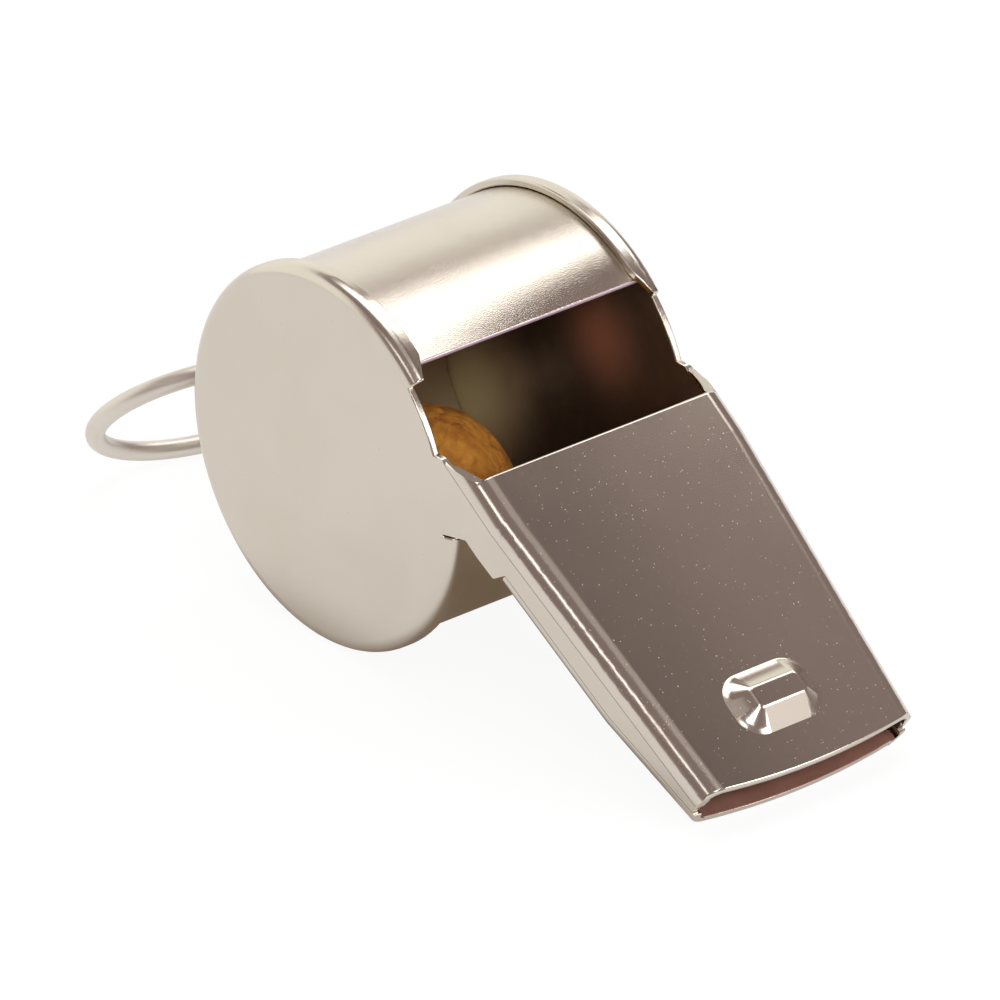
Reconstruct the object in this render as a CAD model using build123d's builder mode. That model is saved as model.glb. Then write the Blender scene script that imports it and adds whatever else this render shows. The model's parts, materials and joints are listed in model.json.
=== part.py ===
"""A stamped and soldered metal pea whistle, lying on its barrel rims and mouthpiece tip.

Millimetres, +Z up, the table at Z = 0, the mouth towards +X, the barrel's axis along Y.
The mouthpiece is drawn in a tilted side view, u forward along its top plate and v square to it,
with the barrel's axis at u = v = 0.
"""
import os
from math import asin, atan2, cos, degrees, hypot, radians, sin, sqrt

from build123d import *

# Sheet metal and solder
sheet = 0.45
solder_film = 0.03
overrun = 5.0

# Barrel
rim_radius = 11.0
body_width = 17.6
flange_width = 1.3
flange_tip_width = 0.7
flange_taper_length = 1.5
rim_fold_radius = 0.75
lip_angle = 84.8
flange_start_angle = 79.0
flange_end_angle = 392.0
window_corner_angle = 58.0

# Mouthpiece: places along u, heights measured down from the top plate's outer face
plate_below_rim = 0.54
plate_rear_setback = 2.67
plate_reach = 29.55
tip_bow = 0.6
tip_width = 15.0
lip_overhang = 0.2
seam_above_corner = 0.35
fold_straight = 0.07
floor_rise = 0.95
floor_fold_radius = 0.85
cheek_setback = 0.02
notch_setback = 1.05
floor_setback = 2.0
beak_start = 22.5
depth_at_rear = 3.55
depth_at_beak = 3.7
depth_at_tip = 2.8
crest_rise = 0.3

# Bite boss pressed up out of the top plate
boss_length = 3.8
boss_width = 5.8
boss_corner_radius = 1.5
boss_height = 0.8
boss_draft = 58.0
boss_edge_radius = 0.4
boss_centre = 25.83
boss_aside = 0.21

# Ring and its lug
ring_radius = 6.35
wire_diameter = 1.1
eye_clearance = 0.6
eye_wall = 0.7
lug_angle = 224.0
lug_standoff = 2.0
lug_thickness = 0.9
lug_foot_width = 4.6
lug_foot_angle = 34.0
ring_yaw = 25.0
ring_lean = 31.0

# Cork pea, where it has rolled to
pea_diameter = 11.0
pea_play = 0.2
pea_angle = 318.0

# Worked out from the sizes above
half_width = body_width / 2
tip_half_width = tip_width / 2
taper_start = rim_radius
inside_half_width = half_width - sheet - solder_film
disc_radius = rim_radius - rim_fold_radius
strip_outer = rim_radius - sheet - solder_film
strip_inner = strip_outer - sheet
plate_height = rim_radius - plate_below_rim
plate_rear = rim_radius - plate_rear_setback
notch_front = rim_radius - notch_setback
floor_rear = rim_radius + floor_setback
seam_height = disc_radius * sin(radians(window_corner_angle)) + seam_above_corner
lid_drop = plate_height - seam_height
lid_fold_radius = lid_drop - fold_straight
lid_reach = plate_reach + tip_bow
tip_reach = lid_reach + lip_overhang
tip_underside = plate_height - depth_at_tip
rest_tilt = degrees(atan2(tip_underside, tip_reach) + asin(rim_radius / hypot(tip_underside, tip_reach)))
tall = rim_radius + overrun
crest_angle = 360 + degrees(asin((plate_height - depth_at_rear + crest_rise) / strip_outer))

eye_radius = rim_radius + lug_standoff
eye_hole_radius = wire_diameter / 2 + eye_clearance
eye_outer_radius = eye_hole_radius + eye_wall
foot_inner = strip_outer + solder_film
pea_radius = pea_diameter / 2
pea_orbit_radius = strip_inner - pea_play - pea_radius
pea_aside = half_width - sheet - pea_play - pea_radius

# The ring lies on the table: its droop from the lug follows from the eye's height, its size and its lean
eye_angle_at_rest = radians(lug_angle - rest_tilt)
eye_height = rim_radius + eye_radius * sin(eye_angle_at_rest)
drop_ratio = (eye_height - wire_diameter / 2) / ring_radius
lean_part = sin(radians(ring_lean)) ** 2
droop_sine = (drop_ratio - sqrt(drop_ratio**2 - lean_part * (drop_ratio**2 - lean_part))) / lean_part
droop = asin(droop_sine)
yaw = radians(ring_yaw)
lean = radians(ring_lean)
ring_away = Vector(-cos(droop) * cos(yaw), -cos(droop) * sin(yaw), -droop_sine)
ring_aside = Vector(-sin(yaw), cos(yaw), 0)
ring_normal = ring_aside.cross(ring_away) * cos(lean) + ring_aside * sin(lean)

# The box round the whole part is centred on the origin
tilt = radians(rest_tilt)
front_extent = lid_reach * cos(tilt) + plate_height * sin(tilt)
ring_centre_back = -eye_radius * cos(eye_angle_at_rest) - ring_away.X * ring_radius
back_extent = ring_centre_back + ring_radius * sqrt(1 - ring_normal.X**2) + wire_diameter / 2
barrel_centre = Vector((back_extent - front_extent) / 2, 0, rim_radius)
forward = Vector(cos(tilt), 0, -sin(tilt))
square_up = Vector(sin(tilt), 0, cos(tilt))
barrel_axis = Axis(barrel_centre, (0, -1, 0))
side_view = Plane(origin=barrel_centre, x_dir=forward, z_dir=(0, -1, 0))
plan_view = Plane(origin=barrel_centre, x_dir=forward, z_dir=square_up)


def polar(radius, angle):
    """A point of the side view at a radius and an angle in degrees about the barrel's axis."""
    return radius * cos(radians(angle)), radius * sin(radians(angle))


def across_view(reach):
    """The plane square to the mouthpiece at a reach, with its X across and its Y upwards."""
    origin = barrel_centre + forward * reach + square_up * plate_height
    return Plane(origin=origin, x_dir=(0, 1, 0), z_dir=forward)


def half_width_at(reach):
    """Half the mouthpiece's outer width, full at the barrel and tapering to the tip."""
    along = max(reach - taper_start, 0) / (plate_reach - taper_start)
    return half_width + (tip_half_width - half_width) * along


def underside_at(reach):
    """Height of the floor's underside in the side view."""
    if reach <= beak_start:
        along = (reach - floor_rear) / (beak_start - floor_rear)
        return plate_height - depth_at_rear - (depth_at_beak - depth_at_rear) * along
    along = (reach - beak_start) / (tip_reach - beak_start)
    return plate_height - depth_at_beak + (depth_at_beak - depth_at_tip) * along


def seam_above_floor(reach):
    """Height of a cheek's lower edge, which stands on the floor's folded edge."""
    return underside_at(reach) + floor_rise + solder_film


def rear_edge_at(height):
    """Place along u of the slanted edge between the window's corner and the plate's rear."""
    corner = polar(disc_radius, window_corner_angle)
    along = (height - corner[1]) / (plate_height - corner[1])
    return corner[0] + (plate_rear - corner[0]) * along


# Left cheek: flat disc with a turned-in rim, and the arm that walls the mouthpiece
cheek_reach = plate_reach - cheek_setback
arm_outline = [
    polar(disc_radius - sheet, window_corner_angle),
    polar(disc_radius, window_corner_angle),
    (rear_edge_at(seam_height), seam_height),
    (cheek_reach, seam_height),
    (cheek_reach, seam_above_floor(cheek_reach)),
    (beak_start, seam_above_floor(beak_start)),
    (floor_rear, seam_above_floor(floor_rear)),
    (floor_rear - sheet, underside_at(floor_rear)),
    (notch_front, underside_at(floor_rear)),
    polar(disc_radius - sheet, flange_end_angle),
]
rim_start = Vector(*polar(1, flange_start_angle))
rim_radial = forward * rim_start.X + square_up * rim_start.Y
rim_section = Plane(origin=barrel_centre, x_dir=rim_radial, z_dir=rim_radial.cross(Vector(0, -1, 0)))
flange_view = Plane(origin=barrel_centre, x_dir=Vector(0, -1, 0).cross(rim_radial), z_dir=rim_radial)

with BuildPart() as left_cheek:
    with BuildSketch(plan_view):
        with BuildLine():
            Polyline(
                (-tall, -half_width),
                (taper_start, -half_width),
                (plate_reach, -tip_half_width),
                (plate_reach, sheet - tip_half_width),
                (taper_start, sheet - half_width),
                (-tall, sheet - half_width),
                close=True,
            )
        make_face()
    extrude(amount=tall, both=True)
    with BuildSketch(side_view):
        Circle(disc_radius)
        with BuildLine():
            Polyline(*arm_outline, close=True)
        make_face()
    extrude(amount=half_width, both=True, mode=Mode.INTERSECT)
    with BuildSketch(rim_section) as rim_profile:
        with BuildLine():
            Polyline(
                (disc_radius, half_width),
                (rim_radius, half_width),
                (rim_radius, half_width - flange_width),
                (rim_radius - sheet, half_width - flange_width),
                (rim_radius - sheet, half_width - sheet),
                (disc_radius, half_width - sheet),
                close=True,
            )
        make_face()
        fillet(rim_profile.vertices().group_by(Axis.Y)[-1].sort_by(Axis.X)[-1], rim_fold_radius)
    revolve(axis=barrel_axis, revolution_arc=flange_end_angle - flange_start_angle)
    with BuildSketch(flange_view):
        with BuildLine():
            Polyline(
                (-overrun, 0),
                (-overrun, half_width - flange_tip_width),
                (0, half_width - flange_tip_width),
                (flange_taper_length, half_width - flange_width),
                (flange_taper_length, 0),
                close=True,
            )
        make_face()
    extrude(amount=tall, mode=Mode.SUBTRACT)

with BuildPart() as right_cheek:
    mirror(left_cheek.part, about=Plane.XZ)

# Barrel strip: one rolled sheet from the window's lip, round the back, to the crest under the windway
with BuildPart() as barrel_strip:
    with BuildSketch(side_view):
        with BuildLine():
            outer = CenterArc((0, 0), strip_outer, lip_angle, crest_angle - lip_angle)
            inner = CenterArc((0, 0), strip_inner, lip_angle, crest_angle - lip_angle)
            Line(outer @ 0, inner @ 0)
            Line(outer @ 1, inner @ 1)
        make_face()
    extrude(amount=inside_half_width, both=True)


def tip_limit(overhang):
    """The plan of everything behind the tip's bowed edge and an overhang, wider than the mouthpiece."""
    corner = plate_reach + overhang
    with BuildSketch() as limit:
        with BuildLine():
            front = ThreePointArc(
                (corner, -tip_half_width), (corner + tip_bow, 0), (corner, tip_half_width)
            )
            Polyline(front @ 0, (corner, -tall), (0, -tall), (0, tall), (corner, tall), front @ 1)
        make_face()
    return limit.sketch


def folded_section(half, base, edge, fold_radius):
    """A sheet's section across, flat at a base height, with both sides folded to an edge height."""
    inner_base = base + sheet if edge > base else base - sheet
    inner_half = half - sheet
    with BuildSketch() as section:
        with BuildLine():
            Polyline(
                (-half, edge),
                (-half, base),
                (half, base),
                (half, edge),
                (inner_half, edge),
                (inner_half, inner_base),
                (-inner_half, inner_base),
                (-inner_half, edge),
                close=True,
            )
        make_face()
        fold_outside = section.vertices().filter_by_position(Axis.Y, base - solder_film, base + solder_film)
        fillet(fold_outside, fold_radius)
        fold_inside = section.vertices().filter_by_position(
            Axis.Y, inner_base - solder_film, inner_base + solder_film
        )
        fillet(fold_inside, fold_radius - sheet)
    return section.sketch


# Mouthpiece top: a sheet with both long edges folded down, and the bite boss
lid_stations = [rear_edge_at(seam_height), taper_start, tip_reach + sheet]

with BuildPart() as mouthpiece_top:
    for station in lid_stations:
        with BuildSketch(across_view(station)):
            add(folded_section(half_width_at(station), 0, solder_film - lid_drop, lid_fold_radius))
    loft(ruled=True)
    with BuildSketch(plan_view):
        add(tip_limit(0))
    extrude(amount=plate_height + overrun, mode=Mode.INTERSECT)
    with BuildSketch(side_view):
        with BuildLine():
            Polyline(
                (plate_rear, plate_height + overrun),
                (plate_rear, plate_height - sheet),
                (rear_edge_at(seam_height), seam_height),
                (-overrun, seam_height),
                (-overrun, plate_height + overrun),
                close=True,
            )
        make_face()
    extrude(amount=half_width + overrun, both=True, mode=Mode.SUBTRACT)
    with BuildSketch(plan_view.offset(plate_height)):
        with Locations((boss_centre, -boss_aside)):
            RectangleRounded(boss_length, boss_width, boss_corner_radius)
    extrude(amount=boss_height, taper=boss_draft)
    boss_top = mouthpiece_top.faces().sort_by(Axis(barrel_centre, square_up))[-1]
    fillet(boss_top.edges(), boss_edge_radius)
    with BuildSketch(plan_view.offset(plate_height - sheet)):
        with Locations((boss_centre, -boss_aside)):
            RectangleRounded(boss_length - sheet, boss_width - sheet, boss_corner_radius)
    extrude(amount=boss_height, taper=boss_draft, mode=Mode.SUBTRACT)

# Mouthpiece floor: full width with folded edges under the arms, and a narrower tongue back to the barrel
floor_stations = [floor_rear, beak_start, tip_reach + sheet]
tongue_start = strip_outer * cos(radians(crest_angle))
tongue_half_width = half_width_at(floor_rear) - sheet - solder_film
tongue_height = underside_at(floor_rear)

with BuildPart() as mouthpiece_floor:
    for station in floor_stations:
        floor_base = underside_at(station) - plate_height
        with BuildSketch(across_view(station)):
            add(folded_section(half_width_at(station), floor_base, floor_base + floor_rise, floor_fold_radius))
    loft(ruled=True)
    with BuildSketch(plan_view):
        add(tip_limit(lip_overhang))
    extrude(amount=plate_height + overrun, mode=Mode.INTERSECT)
    with BuildSketch(side_view):
        with BuildLine():
            Polyline(
                (tongue_start, tongue_height),
                (floor_rear + sheet, tongue_height),
                (floor_rear + sheet, tongue_height + sheet),
                (tongue_start, tongue_height + sheet),
                close=True,
            )
        make_face()
    extrude(amount=tongue_half_width - floor_fold_radius, both=True)
    with BuildSketch(side_view):
        Circle(foot_inner)
    extrude(amount=half_width + overrun, both=True, mode=Mode.SUBTRACT)

# Ring lug: a curved foot on the barrel's back with an eye standing on it
with BuildPart() as ring_lug:
    with BuildSketch(side_view):
        with BuildLine():
            foot_start = lug_angle - lug_foot_angle / 2
            outer = CenterArc((0, 0), foot_inner + sheet, foot_start, lug_foot_angle)
            inner = CenterArc((0, 0), foot_inner, foot_start, lug_foot_angle)
            Line(outer @ 0, inner @ 0)
            Line(outer @ 1, inner @ 1)
        make_face()
    extrude(amount=lug_foot_width / 2, both=True)
    with BuildSketch(side_view):
        with PolarLocations((foot_inner + eye_radius) / 2, 1, start_angle=lug_angle):
            Rectangle(eye_radius - foot_inner, 2 * eye_outer_radius)
        with PolarLocations(eye_radius, 1, start_angle=lug_angle):
            Circle(eye_outer_radius)
            Circle(eye_hole_radius, mode=Mode.SUBTRACT)
    extrude(amount=lug_thickness / 2, both=True)

# Ring: round wire, joined without a gap
eye_place = polar(eye_radius, lug_angle)
eye_centre = barrel_centre + forward * eye_place[0] + square_up * eye_place[1]
ring_centre = eye_centre + ring_away * ring_radius

with BuildPart(Plane(origin=ring_centre, x_dir=ring_away, z_dir=ring_normal)) as lanyard_ring:
    Torus(ring_radius, wire_diameter / 2)

# Cork pea
pea_place = polar(pea_orbit_radius, pea_angle)
pea_centre = barrel_centre + forward * pea_place[0] + square_up * pea_place[1] + Vector(0, -pea_aside, 0)

with BuildPart(Plane(origin=pea_centre)) as cork_pea:
    Sphere(pea_radius)

os.makedirs("parts", exist_ok=True)
left_cheek.part.label = "left_cheek"
export_step(left_cheek.part, "parts/left_cheek.step")
right_cheek.part.label = "right_cheek"
export_step(right_cheek.part, "parts/right_cheek.step")
barrel_strip.part.label = "barrel_strip"
export_step(barrel_strip.part, "parts/barrel_strip.step")
mouthpiece_top.part.label = "mouthpiece_top"
export_step(mouthpiece_top.part, "parts/mouthpiece_top.step")
mouthpiece_floor.part.label = "mouthpiece_floor"
export_step(mouthpiece_floor.part, "parts/mouthpiece_floor.step")
ring_lug.part.label = "ring_lug"
export_step(ring_lug.part, "parts/ring_lug.step")
lanyard_ring.part.label = "lanyard_ring"
export_step(lanyard_ring.part, "parts/lanyard_ring.step")
cork_pea.part.label = "cork_pea"
export_step(cork_pea.part, "parts/cork_pea.step")

print("rest tilt, degrees:", round(rest_tilt, 3))
print("barrel axis:", [round(value, 4) for value in barrel_centre])
print("ring eye:", [round(value, 4) for value in eye_centre])
print("ring centre:", [round(value, 4) for value in ring_centre])
print("pea centre:", [round(value, 4) for value in pea_centre])
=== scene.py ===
"""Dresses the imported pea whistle: nickel-plated sheet, tarnished inside, cork pea and wire ring.

Lengths are in metres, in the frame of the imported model. The whistle lies on a pale studio floor.
"""
import json
import logging
import math
from dataclasses import dataclass, field
from enum import Enum

import bmesh
import bpy
from mathutils import Matrix, Vector
from mathutils.bvhtree import BVHTree
from mathutils.interpolate import poly_3d_calc


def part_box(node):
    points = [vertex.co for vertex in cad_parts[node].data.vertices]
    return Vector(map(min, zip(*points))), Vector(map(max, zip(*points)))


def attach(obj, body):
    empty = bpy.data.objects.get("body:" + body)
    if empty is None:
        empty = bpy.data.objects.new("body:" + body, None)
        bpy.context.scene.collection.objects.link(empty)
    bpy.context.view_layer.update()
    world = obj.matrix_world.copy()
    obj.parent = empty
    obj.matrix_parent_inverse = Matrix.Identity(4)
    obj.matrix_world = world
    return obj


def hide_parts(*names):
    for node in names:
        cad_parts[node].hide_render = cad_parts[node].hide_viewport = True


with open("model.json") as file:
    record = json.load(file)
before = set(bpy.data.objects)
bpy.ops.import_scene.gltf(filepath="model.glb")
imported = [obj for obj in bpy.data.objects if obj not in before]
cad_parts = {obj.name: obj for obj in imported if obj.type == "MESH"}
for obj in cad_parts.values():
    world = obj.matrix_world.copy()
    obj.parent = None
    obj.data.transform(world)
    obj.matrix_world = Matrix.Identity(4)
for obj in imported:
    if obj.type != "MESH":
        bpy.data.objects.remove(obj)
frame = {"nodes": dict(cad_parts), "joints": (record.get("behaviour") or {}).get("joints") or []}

LOG = logging.getLogger("whistle")
MILLIMETRE = 0.001
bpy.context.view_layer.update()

Colour = tuple[float, float, float, float]
WHITE: Colour = (1.0, 1.0, 1.0, 1.0)
BLACK: Colour = (0.0, 0.0, 0.0, 1.0)


def joint_place(name: str) -> Vector:
    """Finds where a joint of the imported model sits.

    Args:
        name: The joint's name in the record.

    Returns:
        The joint's position at rest.
    """
    joint = next(entry for entry in frame["joints"] if entry["name"] == name)
    return Vector(joint["pos_m"])


BARREL_CENTRE = joint_place("pea_orbit")
RIM_RADIUS = BARREL_CENTRE.z
SIDE_REACH = max(abs(corner[1]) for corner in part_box("left_cheek"))
PLATE_MIDDLE = sum((Vector(corner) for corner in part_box("mouthpiece_top")), Vector()) / 2.0


class Side(Enum):
    """Which way a sheet's hidden face looks."""

    TO_AXIS = "towards the barrel's axis"
    TO_MIDDLE = "towards the whistle's middle"
    DOWN = "down into the windway"
    UP = "up into the windway"
    NONE = "nowhere hidden"


class NodeTree:
    """A small helper that adds and links nodes in one shader or group tree."""

    NUMBER_OPERATIONS = ("DOT_PRODUCT", "LENGTH")

    def __init__(self, tree: bpy.types.NodeTree) -> None:
        """Keeps the tree that the nodes go into."""
        self.tree = tree

    def add(self, kind: str, inputs: dict | None = None, **settings) -> bpy.types.Node:
        """Adds a node, sets its properties and fills or links its inputs.

        Args:
            kind: Blender's node type name.
            inputs: Input name or index to a value or to an output socket to link.
            **settings: Properties of the node itself.

        Returns:
            The new node.
        """
        node = self.tree.nodes.new(kind)
        for key, value in settings.items():
            setattr(node, key, value)
        for key, value in (inputs or {}).items():
            if isinstance(value, bpy.types.NodeSocket):
                self.tree.links.new(value, node.inputs[key])
            else:
                node.inputs[key].default_value = value
        return node

    def math(self, operation: str, *values, clamp: bool = False) -> bpy.types.NodeSocket:
        """Adds a math node.

        Args:
            operation: The operation's Blender name.
            *values: Numbers or sockets, in order.
            clamp: Whether the result is held between 0 and 1.

        Returns:
            The result's socket.
        """
        node = self.add("ShaderNodeMath", dict(enumerate(values)), operation=operation, use_clamp=clamp)
        return node.outputs[0]

    def vector(self, operation: str, *values) -> bpy.types.NodeSocket:
        """Adds a vector math node.

        Args:
            operation: The operation's Blender name.
            *values: Vectors or sockets, in order.

        Returns:
            The result's socket, a number for a dot product or a length.
        """
        node = self.add("ShaderNodeVectorMath", dict(enumerate(values)), operation=operation)
        return node.outputs["Value" if operation in self.NUMBER_OPERATIONS else "Vector"]

    def tilt(self, height: bpy.types.NodeSocket) -> bpy.types.NodeSocket:
        """Tilts the normal by a height in metres.

        Args:
            height: The height's socket.

        Returns:
            The tilted normal's socket.
        """
        node = self.add("ShaderNodeBump", {"Height": height, "Distance": 1.0, "Strength": 1.0})
        return node.outputs[0]

    def ramp(self, value: bpy.types.NodeSocket, low: float, high: float) -> bpy.types.NodeSocket:
        """Eases a value from 0 at low to 1 at high.

        Args:
            value: The socket to ease.
            low: The value that gives 0.
            high: The value that gives 1.

        Returns:
            The eased value's socket.
        """
        node = self.add(
            "ShaderNodeMapRange",
            {"Value": value, "From Min": low, "From Max": high},
            interpolation_type="SMOOTHSTEP",
        )
        return node.outputs["Result"]

    def blend(self, share, first, second) -> bpy.types.NodeSocket:
        """Mixes two colours.

        Args:
            share: Share of the second colour, a number or a socket.
            first: Colour or socket at share 0.
            second: Colour or socket at share 1.

        Returns:
            The mixed colour's socket.
        """
        node = self.tree.nodes.new("ShaderNodeMix")
        node.data_type = "RGBA"
        colours = [socket for socket in node.inputs if socket.type == "RGBA"]
        for socket, value in zip([node.inputs[0], *colours], (share, first, second)):
            if isinstance(value, bpy.types.NodeSocket):
                self.tree.links.new(value, socket)
            else:
                socket.default_value = value
        return next(socket for socket in node.outputs if socket.type == "RGBA")


class EffectGroups:
    """Shader node groups shared by several finishes, built once each."""

    WAVE_SCALE = 150.0
    PEEL_SCALE = 17000.0
    LINE_TURN = (0.0, 0.6, 0.0)
    LINE_SCALE = (350.0, 9000.0, 350.0)
    LEAST_DUST_COVER = 0.1
    DUST_COVER_SPREAD = 0.42

    def __init__(self) -> None:
        """Builds every group."""
        self.relief = self.build_relief()
        self.film = self.build_film()
        self.dust = self.build_dust()

    @staticmethod
    def new_group(name: str, inputs: dict[str, float], output: str) -> tuple[NodeTree, bpy.types.Node]:
        """Starts a group that reads Object coordinates.

        Args:
            name: The group's name.
            inputs: Names and starting values of its number inputs.
            output: Name of its one number output.

        Returns:
            The tree helper and the group's input node.
        """
        tree = bpy.data.node_groups.new(name, "ShaderNodeTree")
        for label, value in inputs.items():
            socket = tree.interface.new_socket(label, in_out="INPUT", socket_type="NodeSocketFloat")
            socket.default_value = value
        tree.interface.new_socket(output, in_out="OUTPUT", socket_type="NodeSocketFloat")
        helper = NodeTree(tree)
        return helper, helper.add("NodeGroupInput")

    def build_relief(self) -> bpy.types.NodeTree:
        """Builds the plated sheet's relief: soft waves, orange peel and fine polishing lines.

        Returns:
            The group, which puts out a height.
        """
        helper, given = self.new_group("plated_relief", {"Waves": 1.0, "Peel": 1.0, "Lines": 1.0}, "Height")
        place = helper.add("ShaderNodeTexCoord").outputs["Object"]
        waves = helper.add("ShaderNodeTexNoise", {"Vector": place, "Scale": self.WAVE_SCALE, "Detail": 1.0})
        peel = helper.add("ShaderNodeTexNoise", {"Vector": place, "Scale": self.PEEL_SCALE, "Detail": 1.0})
        stretch = helper.add(
            "ShaderNodeMapping", {"Vector": place, "Rotation": self.LINE_TURN, "Scale": self.LINE_SCALE}
        )
        lines = helper.add("ShaderNodeTexNoise", {"Vector": stretch.outputs[0], "Scale": 1.0, "Detail": 3.0})
        height = helper.math("MULTIPLY", waves.outputs[0], given.outputs["Waves"])
        height = helper.math("MULTIPLY_ADD", peel.outputs[0], given.outputs["Peel"], height)
        height = helper.math("MULTIPLY_ADD", lines.outputs[0], given.outputs["Lines"], height)
        helper.add("NodeGroupOutput", {"Height": height})
        return helper.tree

    def build_film(self) -> bpy.types.NodeTree:
        """Builds the cloudy film that handling leaves on metal.

        Returns:
            The group, which puts out a mask.
        """
        helper, given = self.new_group("handling_film", {"Scale": 220.0, "Low": 0.4, "High": 0.75}, "Mask")
        place = helper.add("ShaderNodeTexCoord").outputs["Object"]
        cloud = helper.add(
            "ShaderNodeTexNoise",
            {"Vector": place, "Scale": given.outputs["Scale"], "Detail": 5.0, "Distortion": 0.6},
        )
        mask = helper.add(
            "ShaderNodeMapRange",
            {"Value": cloud.outputs[0], "From Min": given.outputs["Low"], "From Max": given.outputs["High"]},
        )
        helper.add("NodeGroupOutput", {"Mask": mask.outputs["Result"]})
        return helper.tree

    def build_dust(self) -> bpy.types.NodeTree:
        """Builds scattered specks of dust.

        Returns:
            The group, which puts out a mask.
        """
        helper, given = self.new_group("dust_specks", {"Scale": 6500.0, "Size": 0.3, "Share": 0.3}, "Mask")
        place = helper.add("ShaderNodeTexCoord").outputs["Object"]
        cells = helper.add("ShaderNodeTexVoronoi", {"Vector": place, "Scale": given.outputs["Scale"]})
        chance = helper.add("ShaderNodeSeparateColor", {"Color": cells.outputs["Color"]})
        chosen = helper.math("LESS_THAN", chance.outputs[0], given.outputs["Share"])
        reach = helper.math("MULTIPLY", given.outputs["Size"], chance.outputs[1])
        inside = helper.math("LESS_THAN", cells.outputs["Distance"], reach)
        cover = helper.math(
            "MULTIPLY_ADD", chance.outputs[2], self.DUST_COVER_SPREAD, self.LEAST_DUST_COVER
        )
        mask = helper.math("MULTIPLY", helper.math("MULTIPLY", chosen, inside), cover)
        helper.add("NodeGroupOutput", {"Mask": mask})
        return helper.tree


@dataclass(frozen=True)
class PlatedFinish:
    """Bright nickel plate with a light film of handling and dust."""

    name: str
    colour: Colour = (0.66, 0.61, 0.53, 1.0)
    film_colour: Colour = (0.645, 0.59, 0.505, 1.0)
    dust_colour: Colour = (0.72, 0.65, 0.55, 1.0)
    metallic: float = 1.0
    roughness: float = 0.19
    film_roughness: float = 0.24
    lip_twist: float = 0.0
    lip_angle: float = math.radians(70.0)
    lip_length: float = 3.8 * MILLIMETRE
    crown: float = 0.0
    bow: float = 0.0
    plate_angle: float = math.radians(35.0)
    waves: float = 0.03
    peel: float = 0.3
    lines: float = 0.01
    bump_distance: float = 0.00004
    bump_strength: float = 0.35
    dust_share: float = 0.3
    dust_roughness: float = 0.8
    dust_dulling: float = 0.85

    def build(self, groups: EffectGroups) -> bpy.types.Material:
        """Builds the material.

        Args:
            groups: The shared effect groups.

        Returns:
            The material.
        """
        material = bpy.data.materials.new(self.name)
        material.use_nodes = True
        helper = NodeTree(material.node_tree)
        shader = material.node_tree.nodes["Principled BSDF"]
        film = helper.add("ShaderNodeGroup", node_tree=groups.film)
        dust = helper.add("ShaderNodeGroup", node_tree=groups.dust)
        dust.inputs["Share"].default_value = self.dust_share
        relief = helper.add(
            "ShaderNodeGroup",
            {"Waves": self.waves, "Peel": self.peel, "Lines": self.lines},
            node_tree=groups.relief,
        )
        plate = helper.blend(film.outputs[0], self.colour, self.film_colour)
        colour = helper.blend(dust.outputs[0], plate, self.dust_colour)
        spread = self.film_roughness - self.roughness
        gloss = helper.math("MULTIPLY_ADD", film.outputs[0], spread, self.roughness)
        dulled = helper.math("MULTIPLY", dust.outputs[0], self.dust_roughness)
        roughness = helper.math("MAXIMUM", gloss, dulled)
        loss = -self.dust_dulling * self.metallic
        metallic = helper.math("MULTIPLY_ADD", dust.outputs[0], loss, self.metallic)
        bump = helper.add(
            "ShaderNodeBump",
            {"Height": relief.outputs[0], "Distance": self.bump_distance, "Strength": self.bump_strength},
        )
        links = material.node_tree.links
        if self.lip_twist:
            links.new(self.sprung_lip(helper), bump.inputs["Normal"])
        if self.crown:
            links.new(self.crowned_plate(helper), bump.inputs["Normal"])
        links.new(colour, shader.inputs["Base Color"])
        links.new(roughness, shader.inputs["Roughness"])
        links.new(metallic, shader.inputs["Metallic"])
        links.new(bump.outputs[0], shader.inputs["Normal"])
        return material

    def sprung_lip(self, helper: NodeTree) -> bpy.types.NodeSocket:
        """Tilts the sheet near the window's lip, which has sprung a little out of round.

        Args:
            helper: The material's tree.

        Returns:
            The tilted normal's socket.
        """
        place = helper.add("ShaderNodeTexCoord").outputs["Object"]
        offset = helper.vector("SUBTRACT", place, BARREL_CENTRE)
        tangent = (math.sin(self.lip_angle), 0.0, -math.cos(self.lip_angle))
        reach = helper.vector("DOT_PRODUCT", offset, tangent)
        reach = helper.math("MINIMUM", helper.math("MAXIMUM", reach, 0.0), self.lip_length)
        sideways = helper.add("ShaderNodeSeparateXYZ", {"Vector": offset}).outputs["Y"]
        height = helper.math("MULTIPLY", helper.math("MULTIPLY", reach, reach), sideways)
        height = helper.math("MULTIPLY", height, self.lip_twist)
        return helper.tilt(height)

    def crowned_plate(self, helper: NodeTree) -> bpy.types.NodeSocket:
        """Tilts the top plate as pressing leaves it, a little rounded across and along.

        Args:
            helper: The material's tree.

        Returns:
            The tilted normal's socket.
        """
        place = helper.add("ShaderNodeTexCoord").outputs["Object"]
        offset = helper.vector("SUBTRACT", place, PLATE_MIDDLE)
        slope = (math.cos(self.plate_angle), 0.0, -math.sin(self.plate_angle))
        along = helper.vector("DOT_PRODUCT", offset, slope)
        sideways = helper.add("ShaderNodeSeparateXYZ", {"Vector": offset}).outputs["Y"]
        height = helper.math("MULTIPLY", helper.math("MULTIPLY", sideways, sideways), -self.crown)
        height = helper.math("MULTIPLY_ADD", helper.math("MULTIPLY", along, along), -self.bow, height)
        return helper.tilt(height)


@dataclass(frozen=True)
class LightOrTintPatch:
    """A round patch of painted light or of another colour, placed from the barrel's axis in the side view.
    """

    ahead: float
    above: float
    radius: float
    colour: Colour


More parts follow.
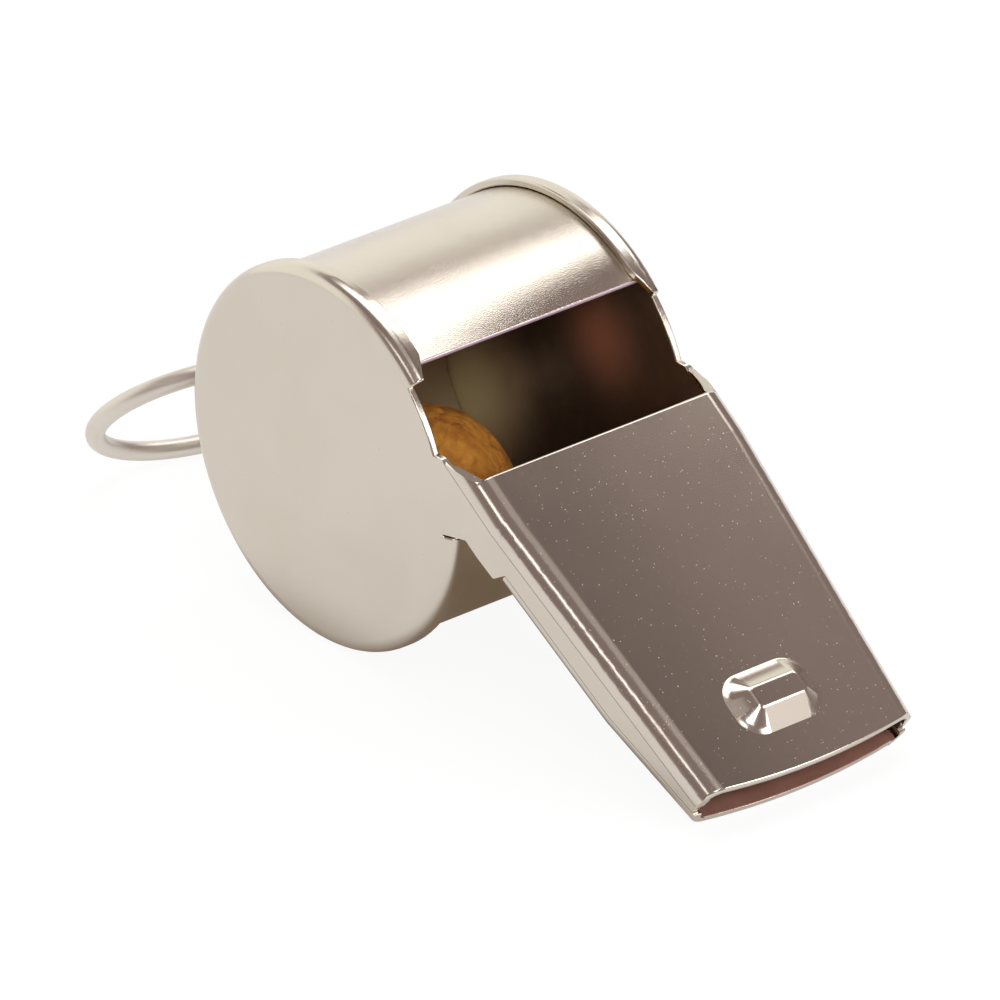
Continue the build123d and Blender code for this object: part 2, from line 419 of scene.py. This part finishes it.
@dataclass(frozen=True)
class TarnishFinish:
    """Unpolished metal inside the whistle, browned with age, with any round patches of painted light or
    other colour that it is given.
    """

    name: str
    colour: Colour = (0.56, 0.47, 0.35, 1.0)
    stain_colour: Colour = (0.46, 0.34, 0.26, 1.0)
    metallic: float = 0.9
    roughness: float = 0.3
    stain_roughness: float = 0.4
    bump_distance: float = 0.00004
    bump_strength: float = 0.1
    light_or_tint_patches: tuple[LightOrTintPatch, ...] = ()

    def build(self, groups: EffectGroups) -> bpy.types.Material:
        """Builds the material.

        Args:
            groups: The shared effect groups.

        Returns:
            The material.
        """
        material = bpy.data.materials.new(self.name)
        material.use_nodes = True
        helper = NodeTree(material.node_tree)
        shader = material.node_tree.nodes["Principled BSDF"]
        stain = helper.add(
            "ShaderNodeGroup", {"Scale": 300.0, "Low": 0.2, "High": 0.8}, node_tree=groups.film
        )
        relief = helper.add(
            "ShaderNodeGroup", {"Waves": 0.4, "Peel": 0.6, "Lines": 0.1}, node_tree=groups.relief
        )
        colour = helper.blend(stain.outputs[0], self.colour, self.stain_colour)
        spread = self.stain_roughness - self.roughness
        roughness = helper.math("MULTIPLY_ADD", stain.outputs[0], spread, self.roughness)
        metallic = self.metallic
        # Each patch lays on its colour, painted light or a reddish tint, and makes the metal matt there.
        for light_or_tint in self.light_or_tint_patches:
            share = self.light_or_tint_share(helper, light_or_tint)
            colour = helper.blend(share, colour, light_or_tint.colour)
            metallic = helper.math("MULTIPLY", helper.math("SUBTRACT", 1.0, share), metallic)
        bump = helper.add(
            "ShaderNodeBump",
            {"Height": relief.outputs[0], "Distance": self.bump_distance, "Strength": self.bump_strength},
        )
        links = material.node_tree.links
        links.new(colour, shader.inputs["Base Color"])
        if self.light_or_tint_patches:
            links.new(metallic, shader.inputs["Metallic"])
        else:
            shader.inputs["Metallic"].default_value = self.metallic
        links.new(roughness, shader.inputs["Roughness"])
        links.new(bump.outputs[0], shader.inputs["Normal"])
        return material

    @staticmethod
    def light_or_tint_share(helper: NodeTree, light_or_tint: LightOrTintPatch) -> bpy.types.NodeSocket:
        """Builds the mask of one round patch of painted light or colour, full in its middle and gone at its
        radius.

        Args:
            helper: The material's tree.
            light_or_tint: The round patch of painted light or colour.

        Returns:
            The mask's socket.
        """
        place = helper.add("ShaderNodeTexCoord").outputs["Object"]
        middle = BARREL_CENTRE + Vector((light_or_tint.ahead, 0.0, light_or_tint.above))
        offset = helper.vector("SUBTRACT", place, middle)
        in_side_view = helper.vector("MULTIPLY", offset, (1.0, 0.0, 1.0))
        return helper.ramp(helper.vector("LENGTH", in_side_view), light_or_tint.radius, 0.0)


@dataclass(frozen=True)
class CorkFinish:
    """Pressed cork: pale and dark granules with pits between them."""

    name: str
    pale: Colour = (1.0, 0.45, 0.06, 1.0)
    dark: Colour = (0.58, 0.20, 0.026, 1.0)
    pit: Colour = (0.48, 0.155, 0.02, 1.0)
    granule_scale: float = 1900.0
    granule_share: float = 0.35
    roughness: float = 0.8
    bump_distance: float = 0.00012
    bump_strength: float = 0.6

    def build(self, groups: EffectGroups) -> bpy.types.Material:
        """Builds the material.

        Args:
            groups: The shared effect groups.

        Returns:
            The material.
        """
        material = bpy.data.materials.new(self.name)
        material.use_nodes = True
        helper = NodeTree(material.node_tree)
        shader = material.node_tree.nodes["Principled BSDF"]
        place = helper.add("ShaderNodeTexCoord").outputs["Object"]
        granules = helper.add("ShaderNodeTexVoronoi", {"Vector": place, "Scale": self.granule_scale})
        tone = helper.add("ShaderNodeSeparateColor", {"Color": granules.outputs["Color"]})
        pits = helper.add(
            "ShaderNodeGroup", {"Scale": 800.0, "Low": 0.5, "High": 0.75}, node_tree=groups.film
        )
        clouds = helper.add(
            "ShaderNodeGroup", {"Scale": 600.0, "Low": 0.35, "High": 0.65}, node_tree=groups.film
        )
        cloudy = helper.math("MULTIPLY", clouds.outputs[0], 1.0 - self.granule_share)
        shade = helper.math("MULTIPLY_ADD", tone.outputs[0], self.granule_share, cloudy)
        body = helper.blend(shade, self.pale, self.dark)
        colour = helper.blend(pits.outputs[0], body, self.pit)
        height = helper.math("SUBTRACT", granules.outputs["Distance"], pits.outputs[0])
        bump = helper.add(
            "ShaderNodeBump",
            {"Height": height, "Distance": self.bump_distance, "Strength": self.bump_strength},
        )
        shader.inputs["Roughness"].default_value = self.roughness
        links = material.node_tree.links
        links.new(colour, shader.inputs["Base Color"])
        links.new(bump.outputs[0], shader.inputs["Normal"])
        return material


def join_doubles(mesh: bpy.types.Mesh, distance: float) -> None:
    """Joins the corners of a mesh that lie on the same spot.

    Args:
        mesh: The mesh, changed in place.
        distance: How far apart such corners may lie.
    """
    work = bmesh.new()
    work.from_mesh(mesh)
    bmesh.ops.remove_doubles(work, verts=work.verts, dist=distance)
    work.to_mesh(mesh)
    work.free()


class PackedNormals:
    """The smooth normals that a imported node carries, looked up by place."""

    def __init__(self, mesh: bpy.types.Mesh) -> None:
        """Keeps the mesh and builds a search tree of its faces."""
        self.mesh = mesh
        points = [vertex.co for vertex in mesh.vertices]
        self.tree = BVHTree.FromPolygons(points, [tuple(polygon.vertices) for polygon in mesh.polygons])

    def at(self, place: Vector, facing: Vector, limit: float) -> Vector | None:
        """Looks up the node's normal at a place.

        Args:
            place: A point on or near the node's surface.
            facing: The normal of the face that asks.
            limit: The largest angle between that normal and the node's face.

        Returns:
            The node's normal there, or None where its nearest face looks another way.
        """
        near, _, index, _ = self.tree.find_nearest(place)
        polygon = self.mesh.polygons[index]
        if polygon.normal.angle(facing, math.pi) > limit:
            return None
        shares = poly_3d_calc([self.mesh.vertices[vertex].co for vertex in polygon.vertices], near)
        total = Vector((0.0, 0.0, 0.0))
        for share, corner in zip(shares, polygon.loop_indices):
            total += self.mesh.corner_normals[corner].vector * share
        return total.normalized()


@dataclass
class SheetPiece:
    """One stamped or rolled sheet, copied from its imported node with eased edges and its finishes."""

    EDGE_FINISH_OR_HIGHLIGHT = 2

    node: str
    outside: bpy.types.Material
    inside: bpy.types.Material
    hidden_side: Side = Side.NONE
    # The cut faces' finish; the barrel strip's is a painted highlight.
    edge: bpy.types.Material | None = None
    edge_radius: float = 0.12 * MILLIMETRE
    edge_segments: int = 3
    weld_distance: float = 0.03 * MILLIMETRE
    merge_angle: float = math.radians(0.3)
    edge_angle: float = math.radians(60.0)
    shortest_eased: float = 0.08 * MILLIMETRE
    overlap: float = 0.01 * MILLIMETRE
    crease_angle: float = math.radians(50.0)
    own_angle: float = math.radians(12.0)
    probe: float = 0.02 * MILLIMETRE
    slope_angles: tuple[float, float] = (math.radians(22.0), math.radians(45.0))
    slope_share: float = 20.0
    inward_share: float = 0.5
    windway_share: float = 0.3
    rear_share: float = 0.45
    end_share: float = 0.93
    sideways_share: float = 0.3
    cross_share: float = 0.5
    sheet: float = 0.45 * MILLIMETRE
    wall_sheets: float = 1.5
    windway_half: float = 6.9 * MILLIMETRE

    def build(self) -> bpy.types.Object:
        """Builds the piece and hides the node that it stands for.

        Returns:
            The finished object.
        """
        mesh = frame["nodes"][self.node].data.copy()
        mesh.name = f"{self.node}_sheet"
        self.weld(mesh)
        piece = bpy.data.objects.new(f"{self.node}_sheet", mesh)
        bpy.context.scene.collection.objects.link(piece)
        self.ease_edges(piece)
        self.dress(piece.data)
        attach(piece, "shell")
        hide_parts(self.node)
        return piece

    def weld(self, mesh: bpy.types.Mesh) -> None:
        """Joins the node's loose triangles into whole faces.

        Args:
            mesh: The copied mesh, changed in place.
        """
        work = bmesh.new()
        work.from_mesh(mesh)
        bmesh.ops.remove_doubles(work, verts=work.verts, dist=self.weld_distance)
        bmesh.ops.dissolve_limit(
            work,
            angle_limit=self.merge_angle,
            verts=work.verts,
            edges=work.edges,
            use_dissolve_boundaries=False,
        )
        work.to_mesh(mesh)
        work.free()

    def ease_edges(self, piece: bpy.types.Object) -> None:
        """Rounds the cut edges and keeps the other faces' true normals.

        Args:
            piece: The object whose mesh is eased.
        """
        mesh = piece.data
        mesh.normals_split_custom_set([(0.0, 0.0, 0.0)] * len(mesh.loops))
        for polygon in mesh.polygons:
            polygon.use_smooth = True
        weights = mesh.attributes.new("bevel_weight_edge", "FLOAT", "EDGE")
        work = bmesh.new()
        work.from_mesh(mesh)
        work.edges.ensure_lookup_table()
        for edge in work.edges:
            weights.data[edge.index].value = float(self.is_eased(edge))
        work.free()
        bevel = piece.modifiers.new("eased_edges", "BEVEL")
        bevel.width = self.edge_radius
        bevel.segments = self.edge_segments
        bevel.limit_method = "WEIGHT"
        bevel.use_clamp_overlap = False
        evaluated = piece.evaluated_get(bpy.context.evaluated_depsgraph_get())
        piece.data = bpy.data.meshes.new_from_object(evaluated)
        piece.modifiers.clear()
        bpy.data.meshes.remove(mesh)
        join_doubles(piece.data, self.overlap)
        self.keep_normals(piece.data)

    def is_eased(self, edge: bmesh.types.BMEdge) -> bool:
        """Tells whether an edge is eased: a cut, but no inner corner, soldered seam or tiny facet.

        Args:
            edge: An edge of the sheet.

        Returns:
            True for an edge to round.
        """
        if edge.calc_face_angle_signed(0.0) < self.edge_angle or edge.calc_length() < self.shortest_eased:
            return False
        first, second = (vertex.co for vertex in edge.verts)
        beyond_barrel = (first.x + second.x) / 2 > BARREL_CENTRE.x + RIM_RADIUS
        return not (beyond_barrel and abs((second - first).normalized().y) < self.cross_share)

    def keep_normals(self, mesh: bpy.types.Mesh) -> None:
        """Sets corner normals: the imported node's own on its faces, and an even turn over the roundings.

        Args:
            mesh: The mesh whose normals are set.
        """
        guide = PackedNormals(frame["nodes"][self.node].data)
        work = bmesh.new()
        work.from_mesh(mesh)
        own = {}
        for face in work.faces:
            for corner in face.loops:
                place = corner.vert.co + corner.calc_tangent() * self.probe
                own[corner] = guide.at(place, face.normal, self.own_angle)
        normals = [Vector((0.0, 0.0, 1.0))] * len(mesh.loops)
        for corner, normal in own.items():
            if normal is None:
                normals[corner.index] = self.rounded_normal(corner, own)
            else:
                normals[corner.index] = self.softened_normal(corner, own)
        work.free()
        mesh.normals_split_custom_set(normals)

    def rounded_normal(self, corner: bmesh.types.BMLoop, own: dict) -> Vector:
        """Works out a normal on a rounding, which meets the faces beside it without a break.

        Args:
            corner: A corner of a face of the rounding.
            own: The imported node's normal at each corner, or None.

        Returns:
            The normal.
        """
        kept, turned = Vector((0.0, 0.0, 0.0)), Vector((0.0, 0.0, 0.0))
        for other in corner.vert.link_loops:
            if other.face.normal.angle(corner.face.normal, math.pi) < self.crease_angle:
                kept += own[other] or Vector((0.0, 0.0, 0.0))
                turned += other.face.normal * other.calc_angle()
        return kept.normalized() if kept.length > 0.0 else turned.normalized()

    def softened_normal(self, corner: bmesh.types.BMLoop, own: dict) -> Vector:
        """Turns a small slope's normal halfway to the large face that it rises from, as pressed metal does.

        Args:
            corner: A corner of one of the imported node's faces.
            own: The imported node's normal at each corner, or None.

        Returns:
            The normal.
        """
        low, high = self.slope_angles
        for other in corner.vert.link_loops:
            larger = other.face.calc_area() > self.slope_share * corner.face.calc_area()
            if larger and own[other] is not None and low < own[other].angle(own[corner], 0.0) < high:
                return (own[other] + own[corner]).normalized()
        return own[corner]

    def is_hidden(self, place: Vector, normal: Vector) -> bool:
        """Tells whether a face looks into the whistle.

        Args:
            place: The face's middle.
            normal: The face's outward normal.

        Returns:
            True for a face of the inside finish.
        """
        radial = place - BARREL_CENTRE
        radial.y = 0.0
        if self.hidden_side is Side.TO_AXIS:
            return normal.dot(radial.normalized()) < -self.inward_share
        if self.hidden_side is Side.TO_MIDDLE:
            wall_depth = self.wall_sheets * self.sheet
            beside_disc = abs(place.y) > SIDE_REACH - wall_depth or radial.x > RIM_RADIUS
            return beside_disc and normal.y * place.y < 0.0 and abs(normal.y) > self.inward_share
        if abs(place.y) > self.windway_half:
            return False
        if self.hidden_side is Side.DOWN:
            return normal.z < -self.windway_share and normal.x < 0.0
        if self.hidden_side is Side.UP:
            return normal.z > self.windway_share and normal.x > 0.0
        return False

    def is_cut_end(self, place: Vector, normal: Vector) -> bool:
        """Tells whether a face belongs to a rolled sheet's cut end.

        Args:
            place: The face's middle.
            normal: The face's outward normal.

        Returns:
            True for a face of the edge finish, which on the barrel strip is a painted highlight.
        """
        if self.hidden_side is Side.DOWN:
            return normal.x < -self.rear_share
        radial = place - BARREL_CENTRE
        radial.y = 0.0
        sideways, outwards = abs(normal.y), abs(normal.dot(radial.normalized()))
        return sideways < self.sideways_share and outwards < self.end_share

    def dress(self, mesh: bpy.types.Mesh) -> None:
        """Gives the outside, inside and cut faces their finishes; the barrel strip's cut faces get a painted
        highlight.

        Args:
            mesh: The mesh to dress.
        """
        mesh.materials.clear()
        mesh.materials.append(self.outside)
        mesh.materials.append(self.inside)
        if self.edge is not None:
            mesh.materials.append(self.edge)
        for polygon in mesh.polygons:
            place, normal = polygon.center.copy(), polygon.normal
            if self.edge is not None and self.is_cut_end(place, normal):
                polygon.material_index = self.EDGE_FINISH_OR_HIGHLIGHT
            else:
                polygon.material_index = int(self.is_hidden(place, normal))


@dataclass
class CorkPea:
    """The cork ball, with granules and pits pressed into its surface by a node tree."""

    finish: bpy.types.Material
    node: str = "cork_pea"
    granule_scale: float = 900.0
    granule_depth: float = 0.09 * MILLIMETRE
    pit_depth: float = 0.12 * MILLIMETRE
    pit_range: tuple[float, float] = (0.58, 0.7)
    subdivisions: int = 7

    def build(self) -> bpy.types.Object:
        """Builds the pea and hides the node that it stands for.

        Returns:
            The finished object.
        """
        low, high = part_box(self.node)
        low, high = Vector(low), Vector(high)
        radius = (high.z - low.z) / 2
        piece = bpy.data.objects.new("cork_ball", bpy.data.meshes.new("cork_ball"))
        bpy.context.scene.collection.objects.link(piece)
        tree = self.grain_tree()
        modifier = piece.modifiers.new("cork_grain", "NODES")
        modifier.node_group = tree
        values = {
            "Centre": tuple((low + high) / 2),
            "Radius": radius,
            "Granule Scale": self.granule_scale,
            "Granule Depth": self.granule_depth,
            "Pit Depth": self.pit_depth,
        }
        for item in tree.interface.items_tree:
            if item.in_out == "INPUT" and item.name in values:
                modifier[item.identifier] = values[item.name]
        piece.update_tag()
        evaluated = piece.evaluated_get(bpy.context.evaluated_depsgraph_get())
        mesh = bpy.data.meshes.new_from_object(evaluated)
        piece.modifiers.clear()
        piece.data = mesh
        for polygon in mesh.polygons:
            polygon.use_smooth = True
        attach(piece, "pea")
        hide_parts(self.node)
        return piece

    def grain_tree(self) -> bpy.types.NodeTree:
        """Builds the tree that presses granules and pits into a ball.

        Returns:
            The geometry node tree.
        """
        tree = bpy.data.node_groups.new("cork_grain", "GeometryNodeTree")
        sockets = (
            ("Centre", "NodeSocketVector"),
            ("Radius", "NodeSocketFloat"),
            ("Granule Scale", "NodeSocketFloat"),
            ("Granule Depth", "NodeSocketFloat"),
            ("Pit Depth", "NodeSocketFloat"),
        )
        tree.interface.new_socket("Geometry", in_out="INPUT", socket_type="NodeSocketGeometry")
        for name, kind in sockets:
            tree.interface.new_socket(name, in_out="INPUT", socket_type=kind)
        tree.interface.new_socket("Geometry", in_out="OUTPUT", socket_type="NodeSocketGeometry")
        helper = NodeTree(tree)
        given = helper.add("NodeGroupInput").outputs
        ball = helper.add(
            "GeometryNodeMeshIcoSphere", {"Radius": given["Radius"], "Subdivisions": self.subdivisions}
        )
        place = helper.add("GeometryNodeInputPosition").outputs[0]
        normal = helper.add("GeometryNodeInputNormal").outputs[0]
        granules = helper.add(
            "ShaderNodeTexVoronoi", {"Vector": place, "Scale": given["Granule Scale"]}, feature="SMOOTH_F1"
        )
        pits = helper.add(
            "ShaderNodeTexNoise", {"Vector": place, "Scale": given["Granule Scale"], "Detail": 2.0}
        )
        pitted = helper.ramp(pits.outputs[0], *self.pit_range)
        sunk = helper.math("MULTIPLY", granules.outputs["Distance"], given["Granule Depth"])
        sunk = helper.math("MULTIPLY_ADD", pitted, given["Pit Depth"], sunk)
        inward = helper.math("MULTIPLY", sunk, -1.0)
        offset = helper.add("ShaderNodeVectorMath", {0: normal, "Scale": inward}, operation="SCALE")
        shaped = helper.add(
            "GeometryNodeSetPosition", {"Geometry": ball.outputs["Mesh"], "Offset": offset.outputs[0]}
        )
        moved = helper.add(
            "GeometryNodeTransform", {"Geometry": shaped.outputs[0], "Translation": given["Centre"]}
        )
        whole = helper.add("GeometryNodeRealizeInstances", {"Geometry": moved.outputs[0]})
        dressed = helper.add(
            "GeometryNodeSetMaterial", {"Geometry": whole.outputs[0], "Material": self.finish}
        )
        helper.add("NodeGroupOutput", {"Geometry": dressed.outputs[0]})
        return tree


@dataclass
class WireRing:
    """The lanyard ring: one round wire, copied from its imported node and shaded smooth."""

    finish: bpy.types.Material
    node: str = "lanyard_ring"
    weld_distance: float = 0.002 * MILLIMETRE

    def build(self) -> bpy.types.Object:
        """Builds the ring and hides the node that it stands for.

        Returns:
            The finished object.
        """
        mesh = frame["nodes"][self.node].data.copy()
        join_doubles(mesh, self.weld_distance)
        mesh.normals_split_custom_set([(0.0, 0.0, 0.0)] * len(mesh.loops))
        for polygon in mesh.polygons:
            polygon.use_smooth = True
        piece = bpy.data.objects.new("lanyard_ring_wire", mesh)
        bpy.context.scene.collection.objects.link(piece)
        mesh.materials.clear()
        mesh.materials.append(self.finish)
        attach(piece, "ring")
        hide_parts(self.node)
        return piece


@dataclass(frozen=True)
class StudioLight:
    """A rectangular light that hangs round the barrel and faces it, with its width across X."""

    name: str
    direction: tuple[float, float, float]
    distance: float
    size: tuple[float, float]
    radiance: float

    def hang(self) -> None:
        """Adds the light to the scene."""
        light = bpy.data.lights.new(self.name, "AREA")
        light.shape = "RECTANGLE"
        light.size, light.size_y = self.size
        light.energy = self.radiance * math.pi * self.size[0] * self.size[1]
        holder = bpy.data.objects.new(self.name, light)
        bpy.context.scene.collection.objects.link(holder)
        towards = Vector(self.direction).normalized()
        along = towards.cross(Vector((1.0, 0.0, 0.0))).normalized()
        across = along.cross(towards)
        place = Matrix.Translation(BARREL_CENTRE + towards * self.distance)
        holder.matrix_world = place @ Matrix((across, along, towards)).transposed().to_4x4()


STUDIO_LIGHTS = (
    StudioLight("softbox", direction=(-0.113, 0.579, 0.785), distance=0.6, size=(0.235, 0.42), radiance=2.4),
    StudioLight("lamp", direction=(0.31, -0.05, 0.95), distance=0.6, size=(0.2, 0.3), radiance=0.2),
    StudioLight("fill", direction=(0.79, 0.45, 0.42), distance=0.7, size=(0.24, 0.24), radiance=4.5),
    StudioLight("front", direction=(0.74, -0.38, 0.55), distance=0.7, size=(0.2, 0.2), radiance=8.0),
    StudioLight("card", direction=(0.80, 0.58, 0.17), distance=0.7, size=(0.2, 0.2), radiance=0.8),
    StudioLight("window", direction=(0.09, -0.83, 0.55), distance=0.7, size=(0.22, 0.1), radiance=2.2),
    StudioLight("strip", direction=(-0.2, 0.05, 0.97), distance=0.6, size=(0.42, 0.26), radiance=2.4),
    StudioLight("glint", direction=(0.58, -0.06, 0.81), distance=0.6, size=(0.1, 0.1), radiance=4.0),
)


@dataclass
class Studio:
    """Pale floor, soft light and the camera at the photograph's angle."""

    azimuth: float = 49.27
    elevation: float = 27.48
    roll: float = 0.41
    distance: float = 0.838
    lens: float = 563.1
    aim: Vector = field(default_factory=lambda: Vector((8.633, -3.402, 10.253)) * MILLIMETRE)
    floor_half: float = 3.0
    floor_colour: Colour = (0.86, 0.86, 0.86, 1.0)
    white_share: float = 0.88
    white_strength: float = 1.05
    glow_share: float = 0.55
    glow_strength: float = 1.1
    # Painted shade: the brown that the floor shows to the metal's reflections beneath the whistle.
    shade: Colour = (0.225, 0.15, 0.092, 1.0)
    painted_shade_centre: float = 5.0 * MILLIMETRE
    painted_shade_length: tuple[float, float] = (25.0 * MILLIMETRE, 14.0 * MILLIMETRE)
    painted_shade_width: tuple[float, float] = (13.0 * MILLIMETRE, 7.0 * MILLIMETRE)
    room: Colour = (0.285, 0.222, 0.212, 1.0)
    backdrop: Colour = (1.15, 1.12, 1.06, 1.0)
    backdrop_end: float = -0.30
    backdrop_start: float = -0.52
    backdrop_top: float = 0.63
    ceiling_base: float = 0.675
    flag_direction: Vector = field(default_factory=lambda: Vector((0.27, 0.42, 0.865)).normalized())
    flag_edge: float = math.cos(math.radians(13.0))
    flag_core: float = math.cos(math.radians(3.0))
    flag_share: float = 0.36
    lights: tuple[StudioLight, ...] = STUDIO_LIGHTS

    def build(self) -> None:
        """Sets up the whole studio."""
        self.build_floor()
        self.build_world()
        for light in self.lights:
            light.hang()
        self.build_camera()
        bpy.context.scene.view_settings.view_transform = "Standard"

    def build_floor(self) -> None:
        """Lays the floor, white to the camera and to the metal, with the whistle's shadow and a painted
        brown shade beneath it.
        """
        half = self.floor_half
        mesh = bpy.data.meshes.new("floor")
        corners = [(-half, -half, 0.0), (half, -half, 0.0), (half, half, 0.0), (-half, half, 0.0)]
        mesh.from_pydata(corners, [], [(0, 1, 2, 3)])
        floor = bpy.data.objects.new("floor", mesh)
        bpy.context.scene.collection.objects.link(floor)
        material = bpy.data.materials.new("floor_paper")
        material.use_nodes = True
        material.node_tree.nodes.clear()
        helper = NodeTree(material.node_tree)
        rays = helper.add("ShaderNodeLightPath").outputs
        paper = helper.add("ShaderNodeBsdfDiffuse", {"Color": self.floor_colour})
        extra = self.glow_strength - self.white_strength
        strength = helper.math("MULTIPLY_ADD", rays["Is Glossy Ray"], extra, self.white_strength)
        place = helper.add("ShaderNodeTexCoord").outputs["Object"]
        across = helper.add("ShaderNodeSeparateXYZ", {"Vector": place}).outputs
        # Painted shade: a soft brown patch beneath the whistle, seen only by glossy rays.
        ahead = helper.math("ABSOLUTE", helper.math("SUBTRACT", across["X"], self.painted_shade_centre))
        aside = helper.math("ABSOLUTE", across["Y"])
        painted_shade_mask = helper.math(
            "MULTIPLY", helper.ramp(ahead, *self.painted_shade_length), helper.ramp(aside, *self.painted_shade_width)
        )
        painted_shade_share = helper.math("MULTIPLY", painted_shade_mask, rays["Is Glossy Ray"])
        white_or_painted_shade = helper.blend(painted_shade_share, WHITE, self.shade)
        white = helper.add("ShaderNodeEmission", {"Color": white_or_painted_shade, "Strength": strength})
        glow = helper.math("MULTIPLY", rays["Is Glossy Ray"], self.glow_share)
        share = helper.math("MULTIPLY_ADD", rays["Is Camera Ray"], self.white_share, glow)
        mix = helper.add(
            "ShaderNodeMixShader", {0: share, 1: paper.outputs[0], 2: white.outputs[0]}
        )
        helper.add("ShaderNodeOutputMaterial", {"Surface": mix.outputs[0]})
        mesh.materials.append(material)

    def build_world(self) -> None:
        """Puts a pale backdrop behind the whistle, a dim room in front and a dark flag over the plate."""
        world = bpy.data.worlds.new("studio")
        bpy.context.scene.world = world
        world.use_nodes = True
        world.node_tree.nodes.clear()
        helper = NodeTree(world.node_tree)
        direction = helper.add("ShaderNodeTexCoord").outputs["Generated"]
        heading = helper.add("ShaderNodeSeparateXYZ", {"Vector": direction}).outputs
        below = helper.ramp(heading["Z"], self.ceiling_base, self.backdrop_top)
        behind = helper.ramp(heading["X"], self.backdrop_end, self.backdrop_start)
        around = helper.blend(helper.math("MULTIPLY", below, behind), self.room, self.backdrop)
        towards = helper.vector("DOT_PRODUCT", direction, self.flag_direction)
        flag = helper.ramp(towards, self.flag_edge, self.flag_core)
        around = helper.blend(helper.math("MULTIPLY", flag, self.flag_share), around, BLACK)
        rays = helper.add("ShaderNodeLightPath").outputs
        colour = helper.blend(rays["Is Camera Ray"], around, WHITE)
        background = helper.add("ShaderNodeBackground", {"Color": colour})
        helper.add("ShaderNodeOutputWorld", {"Surface": background.outputs[0]})

    def build_camera(self) -> None:
        """Places the camera and makes it the scene's own."""
        data = bpy.data.cameras.new("camera")
        data.lens = self.lens
        camera = bpy.data.objects.new("camera", data)
        bpy.context.scene.collection.objects.link(camera)
        turn, lift, roll = (math.radians(angle) for angle in (self.azimuth, self.elevation, self.roll))
        back = Vector((math.sin(turn) * math.cos(lift), -math.cos(turn) * math.cos(lift), math.sin(lift)))
        right = (-back).cross(Vector((0.0, 0.0, 1.0))).normalized()
        up = right.cross(-back)
        right, up = (
            right * math.cos(roll) + up * math.sin(roll),
            up * math.cos(roll) - right * math.sin(roll),
        )
        target = Vector((BARREL_CENTRE.x, 0.0, 0.0)) + self.aim
        place = Matrix.Translation(target + back * self.distance)
        camera.matrix_world = place @ Matrix((right, up, back)).transposed().to_4x4()
        bpy.context.scene.camera = camera


def main() -> None:
    """Builds every piece, dresses it and sets up the studio."""
    logging.basicConfig(level=logging.INFO, format="%(name)s: %(message)s")
    groups = EffectGroups()
    cheek_plate = PlatedFinish("cheek_plate", dust_share=0.02).build(groups)
    barrel_plate = PlatedFinish(
        "barrel_plate", roughness=0.17, film_roughness=0.21, peel=0.9, dust_share=0.05, lip_twist=-3500.0
    ).build(groups)
    mouth_plate = PlatedFinish(
        "mouthpiece_plate", roughness=0.16, film_roughness=0.18, waves=0.0, peel=0.04, crown=4.2, bow=0.6
    ).build(groups)
    # Painted highlight: the lip's cut faces are near-white pink and hardly metallic, so they read bright
    # under any light.
    lip_painted_highlight = PlatedFinish(
        "lip_painted_highlight",
        colour=(1.0, 0.76, 0.92, 1.0),
        film_colour=(1.0, 0.84, 0.95, 1.0),
        metallic=0.2,
        roughness=0.35,
        film_roughness=0.45,
        dust_share=0.1,
    ).build(groups)
    lid_edge = PlatedFinish(
        "lid_edge",
        colour=(0.55, 0.43, 0.46, 1.0),
        film_colour=(0.60, 0.48, 0.50, 1.0),
        roughness=0.4,
        film_roughness=0.5,
        dust_share=0.1,
    ).build(groups)
    wire = PlatedFinish(
        "ring_wire",
        colour=(0.74, 0.69, 0.62, 1.0),
        film_colour=(0.70, 0.65, 0.58, 1.0),
        roughness=0.4,
        film_roughness=0.46,
        dust_share=0.02,
    ).build(groups)
    tarnish = TarnishFinish("tarnished_inside").build(groups)
    cheek_inside = TarnishFinish(
        "tarnished_cheek_and_painted_light",
        colour=(0.34, 0.265, 0.18, 1.0),
        stain_colour=(0.20, 0.14, 0.10, 1.0),
        roughness=0.45,
        stain_roughness=0.55,
        # Painted light: the two khaki patches stand for light that falls in by the window onto the far wall;
        # the third is only a reddish patch.
        light_or_tint_patches=(
            LightOrTintPatch(-7.1 * MILLIMETRE, -4.0 * MILLIMETRE, 6.5 * MILLIMETRE, (0.86, 0.66, 0.36, 1.0)),
            LightOrTintPatch(-7.3 * MILLIMETRE, -4.0 * MILLIMETRE, 3.2 * MILLIMETRE, (1.0, 0.86, 0.46, 1.0)),
            LightOrTintPatch(3.2 * MILLIMETRE, 3.1 * MILLIMETRE, 4.5 * MILLIMETRE, (0.62, 0.25, 0.14, 1.0)),
        ),
    ).build(groups)
    windway = TarnishFinish(
        "tarnished_windway",
        colour=(0.50, 0.255, 0.19, 1.0),
        stain_colour=(0.30, 0.15, 0.11, 1.0),
        metallic=0.3,
        roughness=0.4,
        stain_roughness=0.5,
    ).build(groups)
    cork = CorkFinish("pressed_cork").build(groups)
    parts = (
        SheetPiece("left_cheek", cheek_plate, cheek_inside, Side.TO_MIDDLE),
        SheetPiece("right_cheek", cheek_plate, cheek_inside, Side.TO_MIDDLE),
        SheetPiece("barrel_strip", barrel_plate, tarnish, Side.TO_AXIS, lip_painted_highlight),
        SheetPiece(
            "mouthpiece_top", mouth_plate, windway, Side.DOWN, lid_edge, edge_radius=0.18 * MILLIMETRE
        ),
        SheetPiece("mouthpiece_floor", mouth_plate, windway, Side.UP),
        SheetPiece("ring_lug", cheek_plate, tarnish),
        CorkPea(cork),
        WireRing(wire),
    )
    for part in parts:
        piece = part.build()
        LOG.info("%s: %d faces", piece.name, len(piece.data.polygons))
    Studio().build()


if __name__ == "__main__":
    main()
